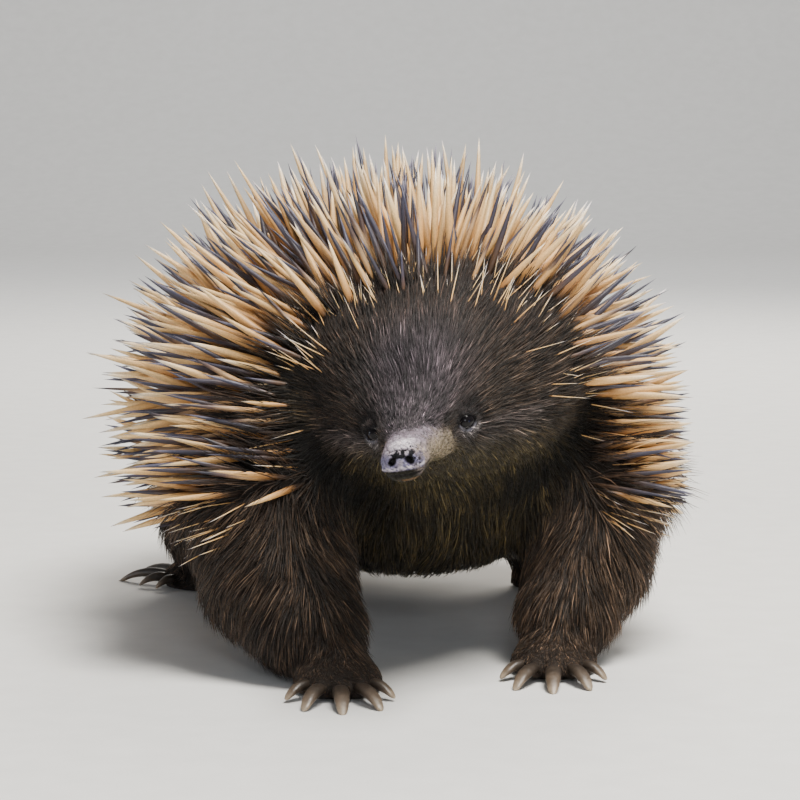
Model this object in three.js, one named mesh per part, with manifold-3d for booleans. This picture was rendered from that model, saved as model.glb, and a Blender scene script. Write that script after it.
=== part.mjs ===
// A short-beaked echidna standing on all fours, life size, looking ahead.
// Millimetres, +Z up. The animal faces -Y and its own left side is towards +X.
// Each solid is the outline of the coat: to the tips of the spines on the back, to the tips of the
// hair on the head, legs and belly, and to the bare skin on the beak and the feet.
import * as THREE from "three";
import { mergeVertices } from "three/addons/utils/BufferGeometryUtils.js";
import Module from "manifold-3d";

const wasm = await Module();
wasm.setup();

// Driving dimensions
const eyeSpacing = 39; // between the middles of the two eyes
const eyeHeight = 106; // above the floor
const eyeRadius = 4.6;
const beakReach = 58; // from the line of the eyes to the tip of the beak
const beakCut = 47; // from the tip of the beak to the edge of the head's hair
const headTurn = 7.4; // degrees, the beak swings to the animal's right
const headDip = 6.1; // degrees, the beak points down
const headTilt = 8.5; // degrees, the animal's left eye is the higher one
const bodyTurn = 8; // degrees, the rump swings to the animal's right
const shoulders = new THREE.Vector3(0, 75, 0); // floor point under the shoulders
const gap = 0.35; // between neighbouring solids
const thinCut = 0.4; // between the head and the beak
const hairOnHead = 7;
const hairOnLegs = 8;
const hairOffFloor = 2.5; // from the floor to the lowest hair on the legs

const degrees = THREE.MathUtils.degToRad;
const xAxis = new THREE.Vector3(1, 0, 0);
const zAxis = new THREE.Vector3(0, 0, 1);

// Solids and geometries

function solidOf(geometry) {
  const bare = geometry.clone();
  bare.deleteAttribute("normal");
  bare.deleteAttribute("uv");
  const merged = mergeVertices(bare, 1e-3);
  return new wasm.Manifold(
    new wasm.Mesh({
      numProp: 3,
      vertProperties: merged.attributes.position.array,
      triVerts: new Uint32Array(merged.index.array),
    }),
  );
}

function geometryOf(solid) {
  const mesh = solid.getMesh();
  const geometry = new THREE.BufferGeometry();
  geometry.setAttribute("position", new THREE.BufferAttribute(mesh.vertProperties, 3));
  geometry.setIndex(new THREE.BufferAttribute(mesh.triVerts, 1));
  geometry.computeVertexNormals();
  return geometry;
}

// The same closed shape with every vertex moved out by a small distance.
function grown(geometry, distance) {
  const bare = geometry.clone();
  bare.deleteAttribute("normal");
  bare.deleteAttribute("uv");
  const merged = mergeVertices(bare, 1e-3);
  merged.computeVertexNormals();
  const { position, normal } = merged.attributes;
  for (let i = 0; i < position.count; i += 1) {
    position.setXYZ(
      i,
      position.getX(i) + distance * normal.getX(i),
      position.getY(i) + distance * normal.getY(i),
      position.getZ(i) + distance * normal.getZ(i),
    );
  }
  return merged;
}

// A cut can leave crumbs: only the largest body is kept.
const largest = (solid) =>
  solid.decompose().reduce((best, body) => (body.volume() > best.volume() ? body : best));

const cutBy = (solid, geometries) =>
  geometries.reduce((left, geometry) => left.subtract(solidOf(grown(geometry, gap))), solid);

// A rounded limb: a sphere whose rings are moved to the stations of a curved axis.
// A station has its middle, its half width, and its half heights above and below the middle.
function limb(stations, { sides, rings, across = xAxis, roundStart = 0.15, roundEnd = 0.15, square = 2.2 }) {
  const last = stations.length - 1;
  const axis = new THREE.CatmullRomCurve3(stations.map((s) => s.at), false, "catmullrom", 0.5);
  const sizes = new THREE.CatmullRomCurve3(
    stations.map((s) => new THREE.Vector3(s.wide, s.up, s.down)),
    false,
    "catmullrom",
    0.5,
  );
  const rounded = (t, length) => (t < length ? Math.sqrt(Math.max(0, 1 - (1 - t / length) ** 2)) : 1);
  const bulged = (value) => Math.sign(value) * Math.abs(value) ** (2 / square);
  const ball = new THREE.SphereGeometry(1, sides, rings);
  const { position, uv } = ball.attributes;
  for (let i = 0; i < position.count; i += 1) {
    const angle = 2 * Math.PI * uv.getX(i);
    const ring = Math.round((1 - uv.getY(i)) * rings) / rings;
    const t = (1 - Math.cos(Math.PI * ring)) / 2;
    const ahead = axis.getTangent(t);
    const upwards = new THREE.Vector3().crossVectors(across, ahead).normalize();
    const sideways = new THREE.Vector3().crossVectors(ahead, upwards);
    const size = sizes.getPoint(t);
    const atEnd = ring === 0 || ring === 1 ? 0 : rounded(t, roundStart / last) * rounded(1 - t, roundEnd / last);
    const point = axis
      .getPoint(t)
      .addScaledVector(sideways, atEnd * size.x * bulged(Math.cos(angle)))
      .addScaledVector(upwards, atEnd * (Math.sin(angle) > 0 ? size.y : size.z) * bulged(Math.sin(angle)));
    position.setXYZ(i, point.x, point.y, point.z);
  }
  return outwards(ball);
}

// Turns the faces round if the shape came out inside out.
function outwards(geometry) {
  const index = geometry.index.array;
  if (solidOf(geometry).volume() < 0) {
    for (let i = 0; i < index.length; i += 3) [index[i + 1], index[i + 2]] = [index[i + 2], index[i + 1]];
  }
  return geometry;
}

const station = (x, y, z, wide, up, down = up) => ({ at: new THREE.Vector3(x, y, z), wide, up, down });

// Head and beak, on an axis from the tip of the beak back to the neck

const eyeMiddle = new THREE.Vector3(0, 0, eyeHeight);
const headFrame = new THREE.Matrix4()
  .makeTranslation(eyeMiddle)
  .multiply(new THREE.Matrix4().makeRotationZ(degrees(-headTurn)))
  .multiply(new THREE.Matrix4().makeRotationX(degrees(headDip)))
  .multiply(new THREE.Matrix4().makeRotationY(degrees(-headTilt)));

// How thick the hair stands on the head, by the distance behind the tip of the beak
const headHair = (behindTip) => hairOnHead * THREE.MathUtils.smoothstep(behindTip, beakCut, beakCut + 45);

const headStation = (behindTip, wide, up, down, lift = 0) =>
  station(
    0,
    behindTip - beakReach,
    lift,
    wide + headHair(behindTip),
    up + headHair(behindTip),
    down + headHair(behindTip),
  );

function headWhole() {
  const stations = [
    headStation(0, 8.0, 6.0, 7.8),
    headStation(14, 8.7, 7.0, 8.0),
    headStation(28, 9.8, 8.4, 8.2),
    headStation(42, 12.8, 11.2, 9.2),
    headStation(56, 18.6, 16.4, 13.0),
    headStation(72, 28.5, 26.0, 20.0, 1),
    headStation(90, 40.0, 35.0, 28.0, 2),
    headStation(110, 50.0, 41.0, 35.0, 3),
    headStation(134, 54.0, 44.0, 38.0, 3),
  ];
  return limb(stations, { sides: 20, rings: 21, roundStart: 0.62, roundEnd: 0.5 }).applyMatrix4(headFrame);
}

const eyePlace = (side) => new THREE.Vector3((side * (eyeSpacing - eyeRadius)) / 2, 1.2, 1).applyMatrix4(headFrame);

// Trunk, on an axis from the chest back to the rump

const bodyFrame = new THREE.Matrix4()
  .makeTranslation(shoulders)
  .multiply(new THREE.Matrix4().makeRotationZ(degrees(bodyTurn)));

// Half width, top and bottom are heights to the tips of the spines and of the belly's hair.
const trunkStation = (behind, middle, wide, top, bottom) =>
  station(0, behind, middle, wide, top - middle, middle - bottom);

function trunkWhole() {
  const stations = [
    trunkStation(-52, 90, 50, 140, 47),
    trunkStation(-18, 94, 90, 178, 36),
    trunkStation(20, 95, 112, 201, 32),
    trunkStation(62, 95, 119, 213, 30),
    trunkStation(108, 95, 121, 216, 30),
    trunkStation(154, 94, 116, 207, 32),
    trunkStation(200, 90, 100, 182, 36),
    trunkStation(244, 85, 74, 145, 46),
    trunkStation(278, 78, 46, 112, 58),
  ];
  return limb(stations, { sides: 28, rings: 18, roundStart: 0.8, roundEnd: 0.6, square: 2 }).applyMatrix4(bodyFrame);
}

function tailWhole() {
  const stations = [
    station(0, 205, 62, 22, 16),
    station(0, 236, 52, 19, 14),
    station(0, 268, 38, 12, 9),
  ];
  return limb(stations, { sides: 12, rings: 8, roundStart: 0.6, roundEnd: 0.5 }).applyMatrix4(bodyFrame);
}

// Legs, on axes from inside the trunk down to the ankle. The hair is on top of these half sizes.

const legStation = (x, y, z, wide, deep) => station(x, y, z, wide + hairOnLegs, deep + hairOnLegs);

const inBody = (stations) => stations.map((s) => ({ ...s, at: s.at.applyMatrix4(bodyFrame) }));

const legs = {
  front_right: [
    legStation(-54, 78, 88, 30, 30),
    legStation(-63, 64, 62, 34, 28),
    legStation(-59, 49, 40, 32, 24),
    legStation(-47, 31, 22, 24, 17),
    legStation(-36, 16, 9, 16, 12),
  ],
  front_left: [
    legStation(64, 114, 88, 29, 30),
    legStation(72, 99, 63, 28, 29),
    legStation(70, 83, 41, 24, 24),
    legStation(62, 65, 21, 20, 17),
    legStation(57, 53, 9, 16, 13),
  ],
  hind_right: inBody([
    legStation(-52, 140, 84, 32, 36),
    legStation(-66, 156, 58, 29, 33),
    legStation(-74, 168, 34, 22, 25),
    legStation(-77, 174, 12, 14, 16),
  ]),
  hind_left: inBody([
    legStation(54, 132, 84, 32, 36),
    legStation(71, 146, 58, 29, 33),
    legStation(81, 156, 34, 22, 25),
    legStation(84, 161, 12, 14, 16),
  ]),
};

// Feet. Each is modelled with its toes towards -Y and its sole at z = 0.
// Each toe has its turn, its length from the middle of the foot, and its claw's length and width.

const frontToes = [
  { turn: -46, reach: 17, claw: 13, wide: 6.2 },
  { turn: -22, reach: 20, claw: 21, wide: 7.6 },
  { turn: 0, reach: 21, claw: 23, wide: 8.0 },
  { turn: 22, reach: 20, claw: 20, wide: 7.6 },
  { turn: 46, reach: 17, claw: 13, wide: 6.2 },
];
const hindToes = [
  { turn: -62, reach: 15, claw: 8, wide: 4.6 },
  { turn: -30, reach: 20, claw: 36, wide: 5.6 },
  { turn: -4, reach: 20, claw: 27, wide: 5.2 },
  { turn: 22, reach: 18, claw: 13, wide: 4.8 },
  { turn: 48, reach: 15, claw: 10, wide: 4.6 },
];

// mirror is -1 on the right feet, so that the inner toe is always first in the lists.
const feet = {
  front_right: { at: [-33, 5], heading: 4, mirror: -1, toes: frontToes, palm: [18, 19] },
  front_left: { at: [55, 43], heading: -3, mirror: 1, toes: frontToes, palm: [18, 19] },
  hind_right: { body: [-80, 180], heading: -118, mirror: 1, toes: hindToes, palm: [13, 21] },
  hind_left: { body: [87, 167], heading: 118, mirror: -1, toes: hindToes, palm: [13, 21] },
};

function footFrame({ at, body, heading }) {
  const middle = at
    ? new THREE.Vector3(at[0], at[1], 0)
    : new THREE.Vector3(body[0], body[1], 0).applyMatrix4(bodyFrame);
  return { middle, turn: degrees(heading + (body ? bodyTurn : 0)) };
}

function footFlesh({ toes, palm: [halfWidth, halfLength], mirror }) {
  const palm = limb(
    [
      station(0, halfLength, 6, halfWidth * 0.72, 11, 9),
      station(0, 0, 7, halfWidth, 12, 10),
      station(0, -halfLength, 5, halfWidth * 0.95, 8, 9),
    ],
    { sides: 12, rings: 7, roundStart: 0.7, roundEnd: 0.6, square: 2.5 },
  );
  const toeShapes = toes.map(({ turn, reach, wide }) =>
    limb([station(0, 0, 5, wide * 0.8, 6, 6), station(0, -reach, 4.6, wide * 0.82, 5, 6)], {
      sides: 6,
      rings: 5,
      roundStart: 0.4,
      roundEnd: 0.3,
    }).rotateZ(degrees(turn * mirror)),
  );
  return toeShapes.reduce((whole, toe) => whole.add(solidOf(toe)), solidOf(palm));
}

// A claw, from inside its toe at the origin towards -Y, bending down as it goes.
function clawShape({ claw, wide }) {
  const bend = claw * 0.16;
  return limb(
    [
      station(0, 4, 0.4, wide * 0.36, 2.2),
      station(0, -claw * 0.3, 0.8, wide * 0.42, 2.4, 2.0),
      station(0, -claw * 0.68, -bend * 0.25, wide * 0.36, 1.8, 1.5),
      station(0, -claw, -bend - 1.1, wide * 0.18, 0.8, 0.7),
    ],
    { sides: 6, rings: 7, roundStart: 0.5, roundEnd: 0.5 },
  );
}

// Placing and cutting

const finishes = {
  spines: { color: 0x9c7647, roughness: 0.6, metalness: 0 },
  hair: { color: 0x3a2f29, roughness: 0.9, metalness: 0 },
  skin: { color: 0x6d6066, roughness: 0.6, metalness: 0 },
  claw: { color: 0x4a4038, roughness: 0.4, metalness: 0 },
  eye: { color: 0x100d10, roughness: 0.1, metalness: 0 },
};

const echidna = new THREE.Group();

// Adds a solid made in the group's own frame, or in the whole model's frame for the top group.
function addPart(group, name, solid, finish) {
  const mesh = new THREE.Mesh(geometryOf(solid), new THREE.MeshStandardMaterial(finishes[finish]));
  mesh.name = name;
  group.add(mesh);
  return mesh;
}

// Cuts away all that is lower than a height above the floor.
const roomBelow = new THREE.BoxGeometry(1200, 1200, 100).translate(0, 0, -50);
const above = (height, solid) => solid.subtract(solidOf(roomBelow.clone().translate(0, 0, height)));

// Feet first: each is a group, turned and placed on the floor, with a claw node on every toe.
const inTheWay = {}; // what the leg above each foot is cut by
for (const [name, foot] of Object.entries(feet)) {
  const { middle, turn } = footFrame(foot);
  const group = new THREE.Group();
  group.position.copy(middle);
  group.rotation.z = turn;
  echidna.add(group);
  group.updateMatrixWorld(true);

  const clawHeight = 4.6;
  const clawShapes = foot.toes.map((toe, index) => {
    const pivot = new THREE.Group();
    pivot.rotation.z = degrees(toe.turn * foot.mirror);
    const holder = new THREE.Object3D();
    holder.position.set(0, -toe.reach, clawHeight);
    pivot.add(holder);
    group.add(pivot);
    group.updateMatrixWorld(true);
    const toFoot = group.matrixWorld.clone().invert().multiply(holder.matrixWorld);
    const shape = clawShape(toe);
    const inFoot = shape.clone().applyMatrix4(toFoot);
    const solid = largest(above(0, solidOf(inFoot))).transform(toFoot.clone().invert().toArray());
    const claw = addPart(pivot, `${name}_claw_${index + 1}`, solid, "claw");
    claw.position.copy(holder.position);
    pivot.remove(holder);
    return inFoot;
  });
  const flesh = largest(above(0, cutBy(footFlesh(foot), clawShapes)));
  addPart(group, `${name}_foot`, flesh, "skin");
  inTheWay[name] = [geometryOf(footFlesh(foot)), ...clawShapes].map((g) => g.clone().applyMatrix4(group.matrixWorld));
}

const legShapes = {};
for (const [name, stations] of Object.entries(legs)) {
  legShapes[name] = limb(stations, { sides: 16, rings: 11, roundStart: 0.8, roundEnd: 0.5 });
  const solid = largest(above(hairOffFloor, cutBy(solidOf(legShapes[name]), inTheWay[name])));
  addPart(echidna, `${name}_leg`, solid, "hair");
}

// The head and beak are one shape, parted by a thin slab, with a socket cut for each eye.
const headShape = headWhole();
const eyeShape = (side) =>
  new THREE.SphereGeometry(eyeRadius, 12, 8).translate(...eyePlace(side).toArray());
const eyeShapes = { eye_right: eyeShape(-1), eye_left: eyeShape(1) };
const slab = new THREE.BoxGeometry(200, thinCut, 200)
  .translate(0, beakCut - beakReach, 0)
  .applyMatrix4(headFrame);
const legGeometries = Object.values(legShapes);
const headParts = cutBy(solidOf(headShape), Object.values(eyeShapes))
  .subtract(solidOf(slab))
  .decompose()
  .sort((a, b) => b.volume() - a.volume());
addPart(echidna, "head", largest(cutBy(headParts[0], legGeometries)), "hair");
addPart(echidna, "beak", headParts[1], "skin");
for (const [name, shape] of Object.entries(eyeShapes)) addPart(echidna, name, solidOf(shape), "eye");

const tailShape = tailWhole();
addPart(echidna, "tail", solidOf(tailShape), "hair");

const trunk = cutBy(solidOf(trunkWhole()), [headShape, tailShape, ...legGeometries]);
addPart(echidna, "trunk", largest(trunk), "spines");

// The origin is on the floor, under the middle of the whole animal.
const box = new THREE.Box3().setFromObject(echidna, true);
const middle = box.getCenter(new THREE.Vector3());
echidna.position.set(-middle.x, -middle.y, -box.min.z);

export default echidna;
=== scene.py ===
import itertools
import math

import bmesh
import bpy
import numpy as np
import openvdb
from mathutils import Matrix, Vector, kdtree


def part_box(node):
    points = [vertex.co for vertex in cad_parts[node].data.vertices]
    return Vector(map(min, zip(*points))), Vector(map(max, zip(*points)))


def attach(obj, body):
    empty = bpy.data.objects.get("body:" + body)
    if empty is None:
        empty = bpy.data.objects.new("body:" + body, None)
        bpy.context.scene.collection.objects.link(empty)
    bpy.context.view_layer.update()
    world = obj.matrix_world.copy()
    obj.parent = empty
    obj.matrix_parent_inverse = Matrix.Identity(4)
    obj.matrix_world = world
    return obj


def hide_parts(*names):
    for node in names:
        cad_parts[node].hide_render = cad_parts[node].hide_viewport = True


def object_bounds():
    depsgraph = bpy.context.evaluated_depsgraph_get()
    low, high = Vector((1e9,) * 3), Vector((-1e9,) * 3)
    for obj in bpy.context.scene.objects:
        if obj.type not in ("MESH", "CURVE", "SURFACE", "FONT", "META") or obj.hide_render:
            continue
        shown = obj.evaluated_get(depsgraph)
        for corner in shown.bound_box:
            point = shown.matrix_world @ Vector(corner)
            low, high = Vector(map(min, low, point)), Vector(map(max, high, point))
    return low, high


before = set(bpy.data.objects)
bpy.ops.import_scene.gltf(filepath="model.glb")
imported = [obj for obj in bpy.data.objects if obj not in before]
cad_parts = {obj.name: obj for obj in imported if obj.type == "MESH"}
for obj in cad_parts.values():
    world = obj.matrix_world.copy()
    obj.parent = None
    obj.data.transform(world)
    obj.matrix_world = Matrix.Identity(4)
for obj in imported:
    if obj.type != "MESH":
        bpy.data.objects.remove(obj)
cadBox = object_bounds()
scene = bpy.context.scene

# All shapes are worked out in millimetres in the row frame, and turned to metres as a mesh is made.
mm = 0.001
rng = np.random.default_rng(7)


# Small helpers on numbers and arrays

def unit(v):
    v = np.asarray(v, float)
    return v / np.maximum(np.linalg.norm(v, axis=-1, keepdims=True), 1e-9)


def smooth(x, low, high):
    t = np.clip((x - low) / (high - low), 0, 1)
    return t * t * (3 - 2 * t)


def follow(table, x):  # reads a settings table of two lists, between its own steps
    steps, values = table.values()
    return np.interp(x, steps, values)


def turn(axis, degrees):
    c, s = math.cos(math.radians(degrees)), math.sin(math.radians(degrees))
    return {
        "x": np.array([[1, 0, 0], [0, c, -s], [0, s, c]]),
        "y": np.array([[c, 0, s], [0, 1, 0], [-s, 0, c]]),
        "z": np.array([[c, -s, 0], [s, c, 0], [0, 0, 1]]),
    }[axis]


def colour(hexCode):  # an sRGB colour as a linear one
    parts = [int(hexCode[i:i + 2], 16) / 255 for i in (0, 2, 4)]
    return tuple(c / 12.92 if c <= 0.04045 else ((c + 0.055) / 1.055) ** 2.4 for c in parts) + (1.0,)


# Soft uneven values from -1 to 1 over space, from a few sine waves in random directions
def waves(points, size, seed):
    local = np.random.default_rng(seed)
    total = np.zeros(len(points))
    for _ in range(7):
        direction = unit(local.normal(size=3)) * local.uniform(0.6, 1.7) * 2 * math.pi / size
        total += np.sin(points @ direction + local.uniform(0, 2 * math.pi))
    return total / 3.2


# Where the head, body and feet stand. These sizes are the CAD's own.

pose = {
    "eyeSpacing": 39.0, "eyeHeight": 106.0, "eyeRadius": 4.6,
    "beakReach": 58.0,       # from the line of the eyes to the tip
    "headTurn": 7.4, "headDip": 6.1, "headTilt": 8.5,
    "bodyTurn": 8.0, "shoulders": (0.0, 75.0, 0.0),
}

headTurn = turn("z", -pose["headTurn"]) @ turn("x", pose["headDip"]) @ turn("y", -pose["headTilt"])
bodyTurn = turn("z", pose["bodyTurn"])

# The CAD's own eyes say where the row frame's origin is.
eyeMiddle = sum((np.array(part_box(n)[0]) + np.array(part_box(n)[1])) / 4 for n in ("eye_left", "eye_right")) / mm
headAt = eyeMiddle - headTurn @ np.array([0, 1.2, 1.0])
bodyAt = headAt - np.array([0, 0, pose["eyeHeight"]]) + np.array(pose["shoulders"])


def fromHead(points):
    return np.asarray(points, float) @ headTurn.T + headAt


def toHead(points):
    return (points - headAt) @ headTurn


def behindTip(q):  # distance behind the tip of the beak, in the head's own frame
    return q[:, 1] + pose["beakReach"]


def fromBody(points):
    return np.asarray(points, float) @ bodyTurn.T + bodyAt


def toBody(points):
    return (points - bodyAt) @ bodyTurn


def fromFloor(points):  # from the frame with its origin under the eyes
    return np.asarray(points, float) + headAt - np.array([0, 0, pose["eyeHeight"]])


# The skin as a distance field: how far each point is outside the skin, in millimetres

def smoothMin(a, b, blend):
    h = np.clip(0.5 + 0.5 * (b - a) / blend, 0, 1)
    return b + (a - b) * h - blend * h * (1 - h)


def smoothMax(a, b, blend):
    return -smoothMin(-a, -b, blend)


def ellipsoid(p, centre, radii):
    q = (p - np.asarray(centre, float)) / np.asarray(radii, float)
    k = np.linalg.norm(q, axis=1)
    g = np.linalg.norm(q / np.asarray(radii, float), axis=1)
    return k * (k - 1) / np.maximum(g, 1e-9)


def limbs(p, points, radii, blend=6):  # a chain of round cones
    total = None
    for a, b, ra, rb in zip(points[:-1], points[1:], radii[:-1], radii[1:]):
        along = b - a
        t = np.clip((p - a) @ along / (along @ along), 0, 1)
        d = np.linalg.norm(p - a - t[:, None] * along, axis=1) - (ra + (rb - ra) * t)
        total = d if total is None else smoothMin(total, d, blend)
    return total


head = {
    # distance behind the tip, half width, height above and below the axis, lift of the axis
    "stations": [
        (0, 7.9, 6.2, 7.4, 0), (6, 8.3, 6.7, 7.8, 0), (14, 8.6, 7.0, 7.9, 0), (28, 9.8, 8.4, 8.1, 0),
        (42, 12.8, 11.2, 9.1, 0), (56, 18.6, 16.4, 13.0, 0), (72, 28.5, 26.0, 20.0, 1),
        (90, 40.0, 35.0, 28.0, 2), (110, 50.0, 41.0, 35.0, 3), (132, 54.0, 44.0, 38.0, 3),
        (160, 50.0, 40.0, 36.0, 2), (185, 34.0, 28.0, 28.0, 0),
    ],
    "tipBlunt": 5.5,          # how far behind the tip its rounding ends
    "square": 2.2,
    "socketRadius": 7.8, "socketOut": 9.0, "socketBlend": 5.0,
    "lidRadius": 5.35, "lidBlend": 1.8,
    "eyeHalfWidth": 3.5, "eyeHalfHeight": 2.45, "eyeFloor": 2.5,
    "gaze": (0.60, -0.79, 0.10),
    "lowest": 75.0,           # nothing lower than this belongs to the face
}


def headLoft(q):
    w = behindTip(q)
    table = np.array(head["stations"], float)
    fine = np.linspace(0, len(table) - 1, 240)
    curve = catmull(table, fine)
    wide, up, down, lift = (np.interp(w, curve[:, 0], curve[:, i]) for i in (1, 2, 3, 4))
    z = q[:, 2] - lift
    tall = np.where(z > 0, up, down)
    n = head["square"]
    gauge = ((np.abs(q[:, 0]) / wide) ** n + (np.abs(z) / tall) ** n) ** (1 / n)
    tube = (gauge - 1) * np.minimum(wide, tall)
    start = head["tipBlunt"]
    tube = np.maximum(np.maximum(tube, start - w), w - table[-1, 0])
    tip = ellipsoid(q, (0, start - pose["beakReach"], -0.55), (8.25, start, 7.15))
    return np.minimum(tube, tip)


def catmull(table, where):
    last = len(table) - 1
    padded = np.vstack([2 * table[0] - table[1], table, 2 * table[-1] - table[-2]])
    k = np.minimum(where.astype(int), last - 1)
    t = (where - k)[:, None]
    a, b, c, d = (padded[k + i] for i in range(4))
    m, n = 0.5 * (c - a), 0.5 * (d - b)
    return b + m * t + (3 * (c - b) - 2 * m - n) * t ** 2 + (2 * (b - c) + m + n) * t ** 3


def eyeFrame(side):  # middle of the eyeball, the way it looks, and its own sideways and upward axes
    middle = np.array([side * (pose["eyeSpacing"] - pose["eyeRadius"]) / 2, 1.2, 1.0])
    look = unit(np.array(head["gaze"]) * (side, 1, 1))
    across = unit(np.cross((0, 0, 1), look))
    return middle, look, across, np.cross(look, across)


def eyePlane(q, side):  # along the gaze, sideways and upward from the eye's middle
    middle, look, across, upward = eyeFrame(side)
    r = q - middle
    return r @ look, r @ across, r @ upward


def headDistance(p, withEyes=True):
    q = toHead(p)
    d = headLoft(q)
    if not withEyes:
        return d
    for side in (-1, 1):
        middle, look = eyeFrame(side)[:2]
        socket = np.linalg.norm(q - middle - head["socketOut"] * look, axis=1) - head["socketRadius"]
        d = smoothMax(d, -socket, head["socketBlend"])
        d = smoothMin(d, np.linalg.norm(q - middle, axis=1) - head["lidRadius"], head["lidBlend"])
        out, sideways, high = eyePlane(q, side)
        ring = np.sqrt((sideways / head["eyeHalfWidth"]) ** 2 + (high / head["eyeHalfHeight"]) ** 2)
        opening = np.maximum((ring - 1) * head["eyeHalfHeight"], head["eyeFloor"] - out)
        d = smoothMax(d, -opening, 0.45)
    return d


trunk = {
    # middle and radii of each rounded mass, in the body's own frame
    "masses": [
        ((0, 40, 95), (77, 72, 60)),
        ((0, 98, 102), (86, 112, 65)),
        ((0, 168, 96), (75, 82, 57)),
        ((6, 52, 67), (62, 66, 32)),
    ],
    "blend": 16.0,
    "tail": ([(0, 212, 58), (0, 262, 42)], [20, 10]),
}


def trunkDistance(p):
    b = toBody(p)
    total = None
    for middle, radii in trunk["masses"]:
        d = ellipsoid(b, middle, radii)
        total = d if total is None else smoothMin(total, d, trunk["blend"])
    ends, radii = trunk["tail"]
    return smoothMin(total, limbs(b, np.array(ends, float), radii), 10)


legs = {
    "front_right": {"axis": [(-54, 78, 88), (-63, 64, 62), (-59, 49, 40), (-47, 31, 22), (-36, 15, 10)],
                    "radii": [30, 31, 28, 20.5, 13.0]},
    "front_left": {"axis": [(64, 114, 88), (72, 99, 63), (70, 83, 41), (62, 65, 21), (57, 52, 10)],
                   "radii": [29, 27.5, 23.5, 18, 13.0]},
    "hind_right": {"body": True, "axis": [(-52, 140, 84), (-66, 156, 58), (-74, 168, 34), (-77, 176, 11)],
                   "radii": [33, 30, 22, 12.5]},
    "hind_left": {"body": True, "axis": [(54, 132, 84), (71, 146, 58), (81, 156, 34), (84, 163, 11)],
                  "radii": [33, 30, 22, 12.5]},
}
frontToes = [(-46, 17, 13, 6.2), (-22, 20, 21, 7.6), (0, 21, 23, 8.0), (22, 20, 20, 7.6), (46, 17, 13, 6.2)]
hindToes = [(-62, 15, 8, 4.6), (-30, 20, 36, 5.6), (-4, 20, 27, 5.2), (22, 18, 13, 4.8), (48, 15, 10, 4.6)]
feet = {
    # each toe has its turn, its reach, and its claw's length and width
    "front_right": {"at": (-33, 5), "heading": 4, "mirror": -1, "toes": frontToes, "palm": (17.5, 18.5)},
    "front_left": {"at": (55, 43), "heading": -3, "mirror": 1, "toes": frontToes, "palm": (17.5, 18.5)},
    "hind_right": {"at": (-80, 180), "heading": -118, "mirror": 1, "toes": hindToes, "palm": (12.5, 20.5),
                   "body": True},
    "hind_left": {"at": (87, 167), "heading": 118, "mirror": -1, "toes": hindToes, "palm": (12.5, 20.5),
                  "body": True},
}


def footPlace(foot):
    inBody = foot.get("body")
    at = (fromBody if inBody else fromFloor)(np.array([foot["at"][0], foot["at"][1], 0.0]))
    return at, turn("z", foot["heading"] + (pose["bodyTurn"] if inBody else 0))


def legAxis(name):
    leg = legs[name]
    return (fromBody if leg.get("body") else fromFloor)(np.array(leg["axis"], float))


def footDistance(p, foot):
    at, rotation = footPlace(foot)
    q = (p - at) @ rotation
    wide, long = foot["palm"]
    d = ellipsoid(q, (0, 1, 3.5), (wide, long, 12))
    for degrees, reach, _, width in foot["toes"]:
        tip = turn("z", degrees * foot["mirror"]) @ np.array([0, -reach, 4.8])
        knuckle = 0.62 * tip + np.array([0, 0, 2.6])
        toe = limbs(q, np.array([(0, 0, 5.0), knuckle, tip]), [5.4, width * 0.68, width * 0.5], 2)
        d = smoothMin(d, toe, 2.2)
    return d


def skinDistance(p):
    d = trunkDistance(p)
    d = smoothMin(d, headDistance(p), 15)
    for name in legs:
        near = np.flatnonzero((np.abs(p - legAxis(name).mean(0)) < 90).all(1))
        if not len(near):
            continue
        q = p[near]
        d[near] = smoothMin(d[near], limbs(q, legAxis(name), legs[name]["radii"], 8), 14)
        close = near[(np.abs(q - footPlace(feet[name])[0]) < 50).all(1)]
        if len(close):
            d[close] = smoothMin(d[close], footDistance(p[close], feet[name]), 6)
    return smoothMax(d, 0.3 - p[:, 2], 1.0)  # the soles are flat


def gradient(distance, p, step=0.15):
    steps = np.eye(3) * step
    return np.stack([distance(p + s) - distance(p - s) for s in steps], 1) / (2 * step)


# Making the skin's mesh: one closed surface, finer on the feet, the face, the eyes and the tip of the beak

skinMesh = {"cell": 2.2, "margin": 6.0, "snaps": 4}


def meshObject(name, points, faces):
    mesh = bpy.data.meshes.new(name)
    mesh.from_pydata((np.asarray(points) * mm).tolist(), [], faces)
    mesh.shade_smooth()
    obj = bpy.data.objects.new(name, mesh)
    scene.collection.objects.link(obj)
    return obj


def pointsOf(obj):
    co = np.empty(len(obj.data.vertices) * 3, np.float32)
    obj.data.vertices.foreach_get("co", co)
    return co.reshape(-1, 3).astype(float) / mm


def setPoints(obj, points):
    obj.data.vertices.foreach_set("co", (points * mm).astype(np.float32).ravel())
    obj.data.update()


def refine(obj, chosen):  # splits every edge of the chosen faces once
    bm = bmesh.new()
    bm.from_mesh(obj.data)
    middles = np.array([f.calc_center_median() for f in bm.faces]) / mm
    picked = chosen(middles)
    edges = {e for f, pick in zip(bm.faces, picked) if pick for e in f.edges}
    bmesh.ops.subdivide_edges(bm, edges=list(edges), cuts=1, use_grid_fill=True)
    bm.to_mesh(obj.data)
    bm.free()


def onFace(p, behindEyes):
    return (toHead(p)[:, 1] < behindEyes) & (p[:, 2] > head["lowest"])


def nearEyes(q, reach):
    return np.minimum(*(np.linalg.norm(q - eyeFrame(side)[0], axis=1) for side in (-1, 1))) < reach


def eyeRing(p):  # distance from the middle of the nearer eye's opening, as seen along its gaze
    q = toHead(p)
    rings = []
    for side in (-1, 1):
        out, sideways, high = eyePlane(q, side)
        rings.append(np.where(out > 0, np.hypot(sideways, 1.2 * high), 99))
    return np.minimum(*rings)


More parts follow.
